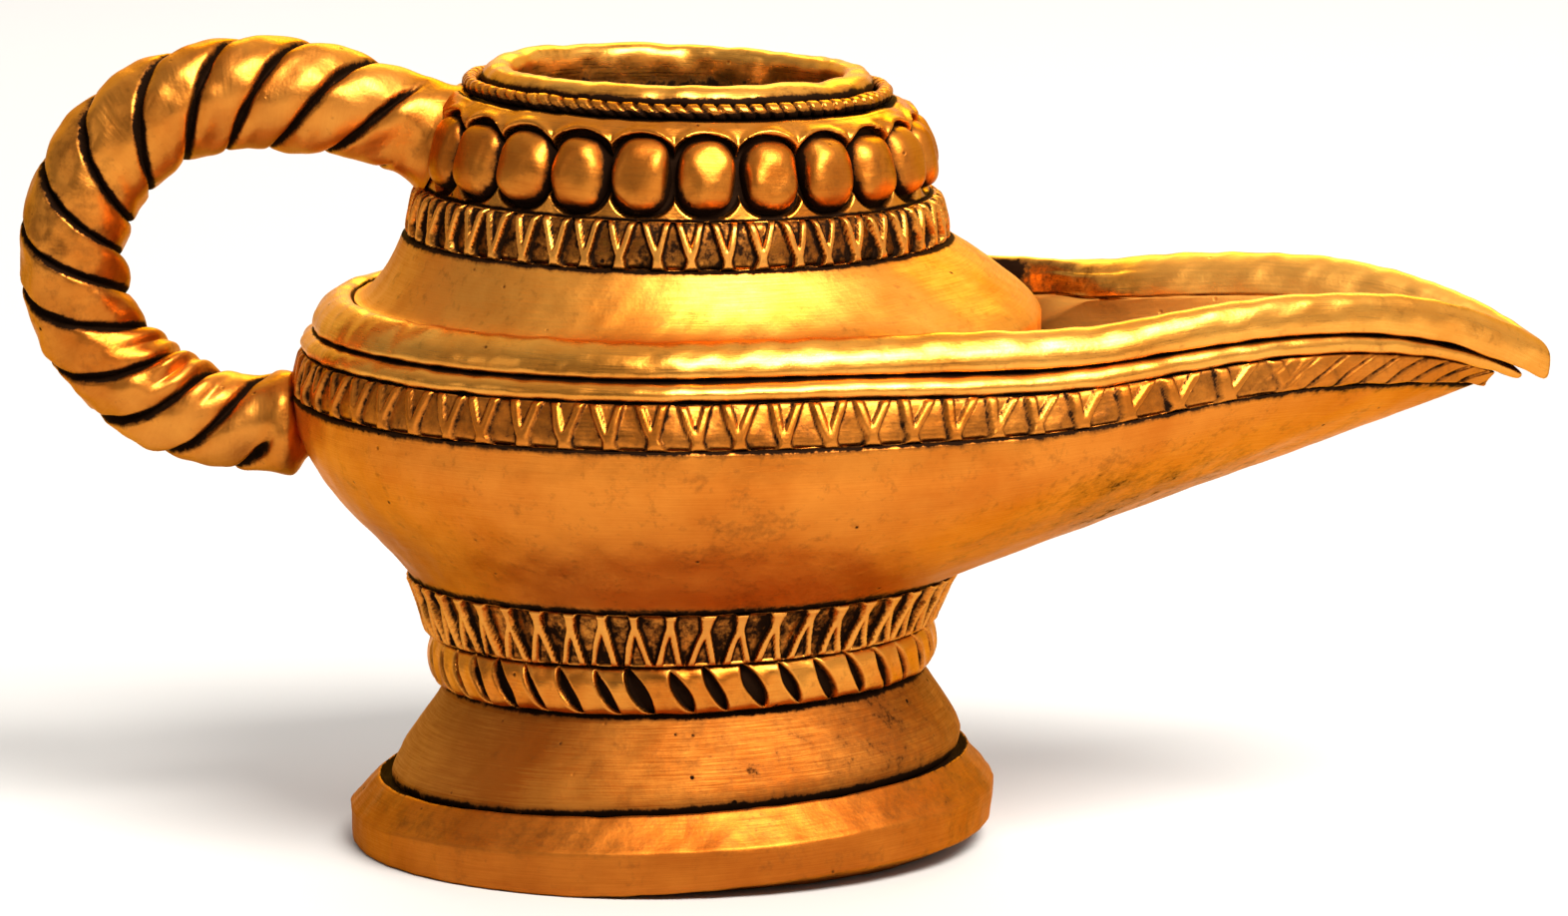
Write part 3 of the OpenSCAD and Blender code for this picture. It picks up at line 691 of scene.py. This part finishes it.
unit = np.concatenate([[0], np.cumsum(pace)])[:-1]
unit = unit / pace.sum() * strip_count + 0.5
depth, stain = stamped(unit + 0 * rise, rise + 0 * unit, strip_count, 52, ground=0.75, inner=0.5,
                       dirt=0.30, rub=0.1)
to_tip = np.minimum(unit, strip_count - unit)
fade = smooth((to_tip - 2.6) / 2.0)
slant = 1.5 * np.sign(strip_grid[:strip_rows, :, 1])
from_nick = np.abs((unit * 2.0 + slant * rise) % 1 - 0.5)
nicks = 0.5 * smooth((0.16 - from_nick) / 0.1) * smooth(rise / 0.2) * smooth((1 - rise) / 0.3)
depth = depth * fade + nicks * (1 - fade) * 0.7
stain = np.maximum(stain * (0.35 + 0.65 * fade), nicks * (1 - fade) * 1.3)
stain = np.maximum(stain, smooth((rise - 0.90) / 0.05) * 1.2)
full = np.zeros(strip_grid.shape[:2])
full[:strip_rows] = -0.62 * depth
strip_grid = swell(strip_grid, full)
strip_patina_and_shade = np.full(strip_grid.shape[:2], 0.9)
strip_patina_and_shade[:strip_rows] = stain
strip = skin("rim_strip_stamped", settled(strip_grid), strip_patina_and_shade)
# Painted shade: the strip's gold and amber are darkened to dull the light its upward-sloping face catches.
strip.data.materials.append(brass("strip_brass_painted_shade", gold=(0.60, 0.20, 0.026), amber=(0.48, 0.13, 0.012),
                                  gloss=0.34, brush=0.25))
place(strip, "rim_strip")

wire_rows = 18
wire_face = spaced(softened([(33.2, spout_reach - 4.4, 5.05), (34.2, spout_reach - 3.1, 4.9),
                             (34.35, spout_reach - 2.5, 4.2), (33.8, spout_reach - 2.4, 3.5),
                             (32.7, spout_reach - 3.6, 3.2)], 3), wire_rows)
wire_back = [(32.5, spout_reach - 5.3, 3.25), (32.5, spout_reach - 6.8, 4.95)]
wire_grid = swept(np.concatenate([wire_face, wire_back]), rim_angle, 51, 0.07)
wire_grid = swell(wire_grid, 0.09 * wander(rim_angle, 53, (3, 7, 12, 19)))
rise = np.linspace(0, 1, wire_rows)
edges = np.maximum(smooth((0.26 - rise) / 0.12), smooth((rise - 0.76) / 0.12)) * 1.2
wire_patina = np.concatenate([edges, [1, 1]])[:, None] * np.ones(len(rim_angle))
wire = skin("rim_wire_drawn", settled(wire_grid), wire_patina)
rubbed_brass = brass("rubbed_brass", gold=(0.82, 0.37, 0.062), amber=(0.68, 0.25, 0.032), gloss=0.29,
                     brush=0.35)
wire.data.materials.append(rubbed_brass)
place(wire, "rim_wire")

lip_rows = 40
lip_face = spaced(softened([(32.0, spout_reach - 2.6, 3.1), (33.2, spout_reach - 0.6, 3.08),
                            (33.25, spout_reach - 0.1, 2.5), (32.9, spout_reach + 0.1, 1.5),
                            (31.9, spout_reach + 0.1, 0.5), (30.9, spout_reach - 1.0, 0.0),
                            (29.9, spout_reach - 2.6, 0.05), (29.4, spout_reach - 4.0, 0.8),
                            (29.35, spout_reach - 4.9, 2.0), (29.3, spout_reach - 5.9, 3.1)], 3), lip_rows)
rise = np.linspace(0, 1, lip_rows)[:, None]
lip_grid = swept(lip_face, rim_angle, 51, 0.07)
lip_grid[..., 2] += 0.11 * wander(rim_angle, 55, (5, 9, 14)) * np.sin(np.pi * rise)
steady = 1 - smooth((rise - 0.75) / 0.2)
lip_grid = swell(lip_grid, 0.10 * steady * wander(rim_angle, 56, (4, 7, 11, 17)))
lip_grid = into_trough(lip_grid, smooth((rise - 0.55) / 0.45))
filed = np.exp(-((lip_grid[..., 0] - 38) / 5.5) ** 2) * smooth((rise - 0.1) / 0.2)
lip_grid[..., 2] -= 0.38 * filed * (rise < 0.8)
lip_x = lip_grid[..., 0]
at_wire = 1.2 * smooth((0.15 - rise) / 0.06)
behind = smooth((rise - 0.66) / 0.06) * smooth((34 - lip_x) / 4)
inner_face = smooth((rise - 0.6) / 0.1)
lip_patina_and_shade = np.maximum(at_wire, behind) - 0.5 * inner_face * smooth((lip_x - 40) / 6)
# Painted shadow: the lip's inner face is browned near the shoulder, where the hood shades the trough.
lip_patina_and_shade = lip_patina_and_shade + 0.42 * inner_face * np.exp(-((lip_x - 35) / 5) ** 2)
lip = skin("rim_lip_rolled", settled(lip_grid), lip_patina_and_shade)
lip.data.materials.append(rubbed_brass)
place(lip, "rim_lip")


# ---- Shoulder ------------------------------------------------------------------------------
# The shoulder closes the bowl round the collar. It sits inside the lip, curves up to the
# collar's foot, and reaches out over the spout as a hood that the wick passes under.

shoulder_low, shoulder_high = (np.array(corner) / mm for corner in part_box("shoulder"))
collar_foot = shoulder_high[2]
hood_reach = shoulder_high[0]
skirt_foot = shoulder_low[2]


def hood(r, angle):
    """Plan of the skirt: round behind, following the lip in front, closed over the spout."""
    reach = hood_reach - (skirt_r - r)
    x = np.where(np.cos(angle) > 0, reach, r) * np.cos(angle)
    along_lip = r * np.clip(1 - np.clip(x / (spout_reach - 3.7), 0, 1) ** spout_taper, 0, 1) ** spout_nose
    side = np.where(np.cos(angle) > 0, along_lip, r)
    close = np.where(np.cos(angle) > 0, np.clip(1 - np.cos(angle) ** 8, 0, 1) ** 0.5, np.abs(np.sin(angle)))
    return x, np.sign(np.sin(angle)) * side * close


turn = np.linspace(0, 2 * np.pi, rim_columns, endpoint=False)
front = smooth((np.cos(turn) - 0.45) / 0.4)
ring_r = 25.0
hole_r = 20.2
skirt_rows = 7
slope_rows = 44
ring_x, ring_y = ring_r * np.cos(turn), ring_r * np.sin(turn)
hole_x, hole_y = hole_r * np.cos(turn), hole_r * np.sin(turn)
skirt_x, skirt_y = hood(skirt_r, turn)
inner_x, inner_y = hood(skirt_r - 1.5, turn)
brow = crest - 0.4 - 1.2 * front
shoulder_grid = [np.stack([skirt_x, skirt_y, between(skirt_foot, brow, t)], -1)
                 for t in np.linspace(0, 0.9, skirt_rows)]
for t in np.linspace(0, 1, slope_rows):
    lift = t ** (1.8 - 1.0 * front)
    shoulder_grid.append(np.stack([between(skirt_x, ring_x, t), between(skirt_y, ring_y, t),
                                   between(brow, collar_foot, lift)], -1))
outer_rows = len(shoulder_grid)
shoulder_grid.append(np.stack([hole_x, hole_y, 0 * turn + collar_foot], -1))
for t in np.linspace(1, 0, 12):
    ceiling = between(skirt_foot + 0.3, collar_foot - 2.2, t ** 0.8)
    shoulder_grid.append(np.stack([between(inner_x, hole_x, t), between(inner_y, hole_y, t),
                                   ceiling + 0 * turn], -1))
shoulder_grid.append(np.stack([inner_x, inner_y, 0 * turn + skirt_foot], -1))
shoulder_grid = np.array(shoulder_grid)
rows = shoulder_grid.shape[0]
ease = np.zeros(rows)
ease[:outer_rows] = np.sin(np.linspace(0, np.pi, outer_rows))
shoulder_grid[..., 2] += ease[:, None] * (0.12 * wander(turn, 61) + 0.05 * wander(turn, 62, (9, 13)))
climb = np.zeros(rows)
climb[skirt_rows:outer_rows] = np.linspace(0, 1, slope_rows)
collar_line = smooth((climb - 0.965) / 0.03)
lip_line = np.zeros(rows)
lip_line[:skirt_rows + 2] = 1.2 * smooth(np.linspace(1.6, 0, skirt_rows + 2))
shoulder_patina = np.maximum(collar_line[:, None], lip_line[:, None] * (1 - 0.8 * front))
shoulder_patina[outer_rows:] = 0.75
shoulder = skin("shoulder_cast", settled(shoulder_grid), shoulder_patina, dents=0.02)
shoulder.data.materials.append(brass("brushed_gold", gold=(0.74, 0.31, 0.048), amber=(0.58, 0.19, 0.021),
                                     gloss=0.46, brush=0.9))
place(shoulder, "shoulder")


# ---- Collar --------------------------------------------------------------------------------
# The collar is the neck casting that oil is poured through. Its slope carries the pearls, each
# let into its own blackened hollow under a raised arch, and its ledge carries the neck rope.

_, collar_high = (np.array(corner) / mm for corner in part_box("collar"))
band2_low, band2_high = (np.array(corner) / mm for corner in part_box("collar_band"))
collar_top = collar_high[2]
slope_foot = band2_high[2]
pearl_places = 24
pearl_missing = 2
pearl_height = 6.6
pearl_width = 5.65
pearl_level = collar_foot + 8.1
slope_line = [(22.9, slope_foot), (20.9, pearl_level + pearl_height / 2 + 0.3)]


def slope_r(z):
    """Radius of the collar's slope at a height."""
    (r_low, z_low), (r_high, z_high) = slope_line
    return r_low + (r_high - r_low) * (z - z_low) / (z_high - z_low)


slope_rows = 60
slope_face = spaced([slope_line[0], slope_line[1], (20.9, collar_top - 1.15), (20.55, collar_top - 0.45),
                     (20.1, collar_top - 0.05)], slope_rows)
collar_section = np.concatenate([
    slope_face, [(19.75, collar_top), (19.5, collar_top - 0.35), (18.0, collar_top - 0.4),
                 (15.6, collar_top - 0.3), (15.6, collar_top - 2.4), (18.4, collar_foot + 8),
                 (18.4, collar_foot - 1.5), (19.4, collar_foot - 1.6), (19.9, collar_foot),
                 (22.4, collar_foot), (22.5, slope_foot)]])
collar, angle = turned(collar_section, pearl_places * 56)
pearl_step = 2 * np.pi / pearl_places
offset = ((angle - np.pi) / pearl_step) % 1 - 0.5
face_z = collar_section[:, 1][:, None]
side_mm = offset * pearl_step * 22.3
up_mm = face_z - pearl_level
oval = (np.abs(side_mm) / (pearl_width / 2)) ** 2.3 + (np.abs(up_mm) / (pearl_height / 2)) ** 2.6
oval = oval ** (1 / 2.4)
from_handle = np.abs(angle - np.pi) / pearl_step
has_pearl = smooth((from_handle - 0.95) / 0.1)
hollow = smooth((1.15 - oval) / 0.08) * has_pearl
arch = np.exp(-((oval - 1.24) / 0.075) ** 2) * smooth((up_mm - 0.2) / 1.2) * has_pearl
notch = smooth((1.7 - np.abs(up_mm)) / 1.2) * smooth((np.abs(offset) - 0.40) / 0.05) * has_pearl
faces = np.zeros(len(collar_section))
faces[:slope_rows] = 1
above = smooth((face_z - slope_line[1][1] - 0.1) / 0.7)
bulge = 0.55 * np.exp(-((face_z - collar_top + 1.3) / 0.9) ** 2)
sunk = np.maximum(hollow, notch)
relief = bulge - 0.75 * sunk + 0.38 * arch + 0.08 * wander(angle, 71)
collar = swell(collar, faces[:, None] * relief)
collar_patina = sunk * faces[:, None]
collar_patina = np.maximum(collar_patina, faces[:, None] * smooth((slope_foot + 0.35 - face_z) / 0.3))
collar_patina[slope_rows:slope_rows + 4] = 1.0
collar_patina[slope_rows + 4:] = 0.60
collar_piece = skin("collar_cast", settled(collar), collar_patina)
collar_piece.data.materials.append(brass("collar_brass", gold=(0.70, 0.27, 0.038), gloss=0.28, brush=0.3))
place(collar_piece, "collar")

low, high = band2_low[2], band2_high[2]
band2_face = spaced(softened([(23.9, low), (24.65, low + 0.12), (24.8, low + 0.7),
                              (24.25, high - 0.6), (23.8, high - 0.1), (23.1, high)], 2), band_rows)
collar_band = stamped_ring("collar_band_stamped", band2_face, [(22.6, high), (22.6, low)], 48, 0.80, 75)
collar_band.data.materials.append(stamped_brass)
place(collar_band, "collar_band")


# ---- Pearls --------------------------------------------------------------------------------
# Barrel-shaped pearls stand in the collar's hollows, each cast by itself, so their size, swell
# and dents differ. The handle's root takes the place of two.


def pearl_mesh(name, place_angle, luck):
    """One pearl: a fat barrel with flattened sides and a softly dented face."""
    rings, steps = 40, 56
    polar = np.linspace(0.02, np.pi - 0.02, rings)[:, None]
    round_it = np.linspace(0, 2 * np.pi, steps, endpoint=False)
    wide = pearl_width / 2 * luck.uniform(0.90, 1.05)
    tall = pearl_height / 2 * luck.uniform(0.93, 1.01)
    deep = 2.15
    girth = np.sin(polar) ** 0.62
    side = wide * girth * np.sign(np.cos(round_it)) * np.abs(np.cos(round_it)) ** 0.80
    out = deep * girth * np.sign(np.sin(round_it)) * np.abs(np.sin(round_it)) ** 0.80
    up = tall * np.sign(np.cos(polar)) * np.abs(np.cos(polar)) ** 0.92 + 0 * round_it
    dent = sum(luck.uniform(0.02, 0.05) * np.cos(k * round_it + luck.uniform(0, 6))
               * np.sin(m * polar + luck.uniform(0, 3)) for k, m in ((2, 2), (3, 1), (4, 3)))
    side, out = side * (1 + dent), out * (1 + dent)
    slant = math.atan2(slope_line[0][0] - slope_line[1][0], slope_line[1][1] - slope_line[0][1])
    twist = luck.uniform(-0.06, 0.06)
    side, up = side * math.cos(twist) - up * math.sin(twist), side * math.sin(twist) + up * math.cos(twist)
    r = slope_r(pearl_level) - 0.45 + out * math.cos(slant) - up * math.sin(slant)
    z = pearl_level + up * math.cos(slant) + out * math.sin(slant) + luck.uniform(-0.1, 0.1)
    grid = np.stack([r * math.cos(place_angle) - side * math.sin(place_angle),
                     r * math.sin(place_angle) + side * math.cos(place_angle), z], -1)
    sunk = smooth((1.55 - out) / 1.2)
    return skin(name, settled(grid), sunk * 1.05, wrap_rows=False, capped=True, dents=0.05)


pearl_brass = brass("pearl_brass", gold=(0.60, 0.205, 0.025), amber=(0.40, 0.105, 0.010), gloss=0.37,
                    brush=0.6, dent=0.45)
pearl_luck = np.random.default_rng(81)
for number in range(1, pearl_places - pearl_missing + 1):
    where = math.pi + pearl_step * (number + 0.5)
    pearl = pearl_mesh(f"pearl_{number:02d}_cast", where, pearl_luck)
    pearl.data.materials.append(pearl_brass)
    place(pearl, f"pearl_{number:02d}")


# ---- Neck rope and mouth ring --------------------------------------------------------------
# A thin twisted wire lies in the groove on the collar's ledge, and inside it the mouth ring
# rises, rolled over and rubbed smooth by the hands that fill the lamp.

neck_low, neck_high = (np.array(corner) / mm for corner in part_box("neck_rope"))
neck_r = (neck_high[0] - neck_low[0]) / 2 - 0.6
twist_count = 84
neck_rows = 20
roll = np.linspace(0, 2 * np.pi, neck_rows, endpoint=False)
neck_section = np.stack([neck_r + 0.72 * np.cos(roll), neck_low[2] + 0.70 + 0.74 * np.sin(roll)], 1)
neck, angle = turned(neck_section, twist_count * 14)
lean = 0.55 * np.sin(roll)[:, None] * smooth((1.2 - np.cos(angle)) / 1.6)
strand = (angle / (2 * np.pi) * twist_count + lean) % 1 - 0.5
nicked = smooth((np.abs(strand) - 0.30) / 0.14)
neck = swell(neck, -0.30 * nicked * np.cos(roll)[:, None])
neck[..., 2] -= 0.30 * nicked * np.sin(roll)[:, None]
under = smooth((0.3 - np.sin(roll)) / 0.6)[:, None]
neck_piece = skin("neck_rope_twisted", settled(neck), np.maximum(nicked * 0.6, under))
neck_piece.data.materials.append(brass("rope_wire", gloss=0.28, brush=0.1))
place(neck_piece, "neck_rope")

mouth_low, mouth_high = (np.array(corner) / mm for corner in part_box("mouth_ring"))
mouth_top = mouth_high[2]
mouth_bore = 14.9
mouth_rows = 46
mouth_section = np.concatenate([
    spaced(softened([(16.9, collar_top), (17.5, collar_top + 0.7), (17.9, collar_top + 1.2),
                     (17.8, mouth_top - 0.9), (17.2, mouth_top - 0.2),
                     (16.4, mouth_top), (15.4, mouth_top - 0.1), (mouth_bore + 0.05, mouth_top - 0.8),
                     (mouth_bore, mouth_top - 2.0), (mouth_bore, mouth_low[2])], 3), mouth_rows),
    [(15.5, mouth_low[2]), (15.5, collar_top)]])
mouth, angle = turned(mouth_section)
high = smooth((mouth_section[:, 1] - collar_top) / 2)[:, None]
mouth[..., 2] += high * 0.26 * wander(angle, 91, (2, 3, 5, 9))
mouth = swell(mouth, 0.20 * high * wander(angle, 92, (2, 3, 4, 7)))
run = np.linspace(0, 1, mouth_rows)
edges = np.maximum(1.1 * smooth((0.28 - run) / 0.10), 0.8 * smooth((run - 0.66) / 0.3))
mouth_patina = np.concatenate([edges, [1, 1]])[:, None] * np.ones(len(angle))
mouth_ring = skin("mouth_ring_rolled", settled(mouth), mouth_patina, dents=0.055)
mouth_ring.data.materials.append(rubbed_brass)
place(mouth_ring, "mouth_ring")


# ---- Handle --------------------------------------------------------------------------------
# Three thick strands were twisted together and bent into a loop that takes one finger. The
# upper end is brazed to the collar and the lower end to the bowl, under the stamped strip.

handle_low, handle_high = (np.array(corner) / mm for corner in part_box("handle"))
handle_r = 5.2
low_root_r = 0.84 * handle_r
loop_left = -handle_low[0] - handle_r
loop_top = handle_high[2] - handle_r + 0.1
loop_bottom = crest - lip_height - 9.0
loop_half_w = 16.3
loop_half_h = (loop_top - loop_bottom) / 2
loop_middle = (loop_top + loop_bottom) / 2
loop_x = -(loop_left - loop_half_w)
root_z = 64.1
tail = np.linspace(1, 0, 120, endpoint=False)
arc = np.linspace(np.pi / 2, 3 * np.pi / 2, 360)
line = np.concatenate([
    np.stack([loop_x + (-20.9 - loop_x) * tail, loop_top - (loop_top - root_z) * tail ** 2], 1),
    np.stack([loop_x + loop_half_w * np.cos(arc), loop_middle + loop_half_h * np.sin(arc)], 1),
    np.stack([np.linspace(loop_x, -bowl_r + 1.9, 40)[1:], np.full(39, loop_bottom)], 1)])
line = spaced(line, 720)
travel = np.gradient(line, axis=0)
travel /= np.linalg.norm(travel, axis=1)[:, None]
run = np.linspace(0, 1, len(line))[:, None]
length = np.linalg.norm(np.diff(line, axis=0), axis=1).sum()
sides = 112
roll = np.linspace(0, 2 * np.pi, sides, endpoint=False)
strands, turns, first_groove, coils = 3, 4.67, 0.30, 40
slow = 0.10 * np.sin(9.0 * run + 1.0) + 0.06 * np.sin(23.0 * run)
phase = strands * (roll / (2 * np.pi) + turns * run) + first_groove + slow
which = np.floor(phase).astype(int) % coils
near = np.abs(phase % 1 - 0.5) * 2
fade_in = smooth((run - 0.045) / 0.04) * smooth((0.962 - run) / 0.03)
luck = np.random.default_rng(101)
thick = between(between(4.3, handle_r, smooth(run / 0.2)), low_root_r, smooth((run - 0.35) / 0.6))
outer_side = smooth(0.5 + 0.5 * np.cos(roll))
groove = np.exp(-((1 - near) / 0.13) ** 2)
body = 0.30 * np.abs(np.cos(np.pi * (phase % 1))) ** 4
width_luck = luck.uniform(-0.16, 0.16, coils)[which]
waves = ((2, 31, 0.4), (3, 47, 2.0), (5, 61, 4.1), (4, 83, 1.1))
lumps = sum(0.07 * np.sin(k * roll + m * run + c) for k, m, c in waves)
low_left = np.exp(-((run - 0.66) / 0.14) ** 2) * outer_side
knots = np.abs(np.sin(2 * np.pi * phase)) + 0.4 * np.sin(5 * roll + 90 * run)
knots = knots * np.exp(-((run - 0.80) / 0.07) ** 2) * smooth((-np.cos(roll) - 0.2) / 0.6)
to_bowl = (1 - run) * length
flare = (1.5 * np.exp(-run * length / 1.3) + 0.55 * np.exp(-((to_bowl - 2.6) / 1.6) ** 2)
         - 1.5 * smooth((1.9 - to_bowl) / 1.9))
relief = width_luck * near ** 2 - body + low_left * (0.5 * near ** 2 - 0.1) + 0.7 * knots
relief = relief - (0.75 + 0.3 * outer_side) * groove
radius = thick + flare + 0.8 * lumps * smooth(to_bowl / 3) + fade_in * relief
handle_grid = np.empty((len(line), sides, 3))
handle_grid[..., 0] = line[:, :1] + radius * np.cos(roll) * travel[:, 1:]
handle_grid[..., 1] = radius * np.sin(roll)
handle_grid[..., 2] = line[:, 1:] - radius * np.cos(roll) * travel[:, :1]
# Dirt lies in the grooves; painted shade also darkens each strand towards the grooves, leaving its middle
# brightest.
groove_dirt_and_shade = fade_in * (1.30 * groove + 0.25 * body + 0.38 * near ** 4)
handle_patina_and_shade = np.clip(groove_dirt_and_shade, 0, 1.1) - 0.2 * fade_in * (groove < 0.02)
# Painted shade: the strands are browned round the far left of the loop, which turns away from the light.
handle_patina_and_shade = handle_patina_and_shade + 0.36 * np.exp(-((run - 0.56) / 0.19) ** 2)
handle = skin("handle_twisted", handle_grid, handle_patina_and_shade, wrap_rows=False, capped=True, dents=0.065)
handle.data.materials.append(brass("twisted_brass", gold=(0.64, 0.235, 0.032), amber=(0.44, 0.115, 0.011),
                                   gloss=0.35, brush=0.04, streak=0.05, dent=0.55))
place(handle, "handle")
